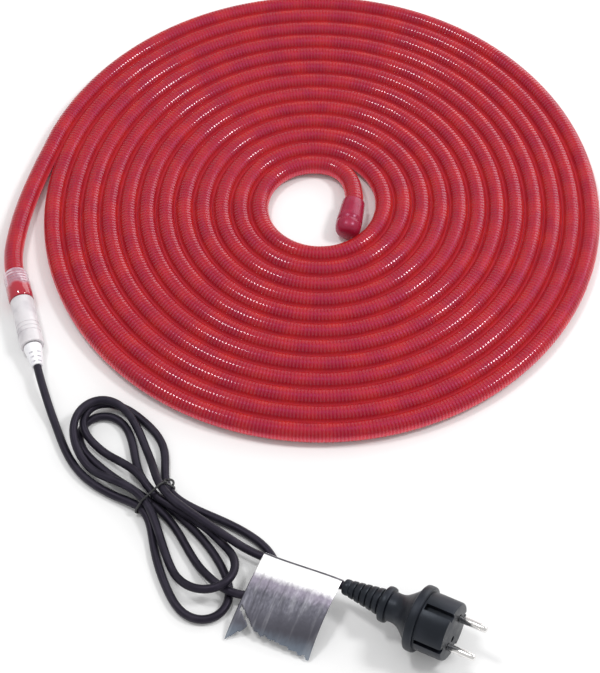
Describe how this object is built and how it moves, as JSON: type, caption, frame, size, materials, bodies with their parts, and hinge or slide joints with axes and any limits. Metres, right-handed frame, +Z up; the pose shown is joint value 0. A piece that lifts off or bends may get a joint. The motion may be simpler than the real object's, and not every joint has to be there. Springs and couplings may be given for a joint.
{
  "type": "led rope light",
  "caption": "Red ribbed LED rope light laid in one flat round coil, with an end cap, a coupling sleeve and connector, and a bundled black mains lead with a round two-pole plug.",
  "frame": {"origin": "on the floor under the middle of the box round the rope, its end cap and its connector", "axes": "+Z up, square with the coil; -Y towards the plug; -X towards the connector"},
  "size_m": [0.4265, 0.5744, 0.0438],
  "materials": {
    "rope": "translucent red PVC, fine ribs across",
    "end_cap": "translucent red PVC, smooth",
    "sleeve": "clear PVC over the red rope",
    "connector": "milky translucent PVC",
    "relief": "white soft PVC",
    "lead": "black PVC sheath, satin",
    "tie": "black coated wire",
    "foil": "creased silver foil",
    "plug": "black moulded rubber",
    "pins": "nickel plated"
  },
  "bodies": {
    "root": {"rope_coil": "rope", "rope_tail": "rope", "rope_inner_end": "rope", "end_cap": "end_cap", "coupling_sleeve": "sleeve", "connector_body": "connector", "strain_relief": "relief", "lead_from_connector": "lead", "lead_hank": "lead", "lead_loop": "lead", "lead_to_plug": "lead", "twist_tie": "tie", "foil_label": "foil", "plug_body": "plug", "plug_pin_1": "pins", "plug_pin_2": "pins"}
  },
  "joints": []
}
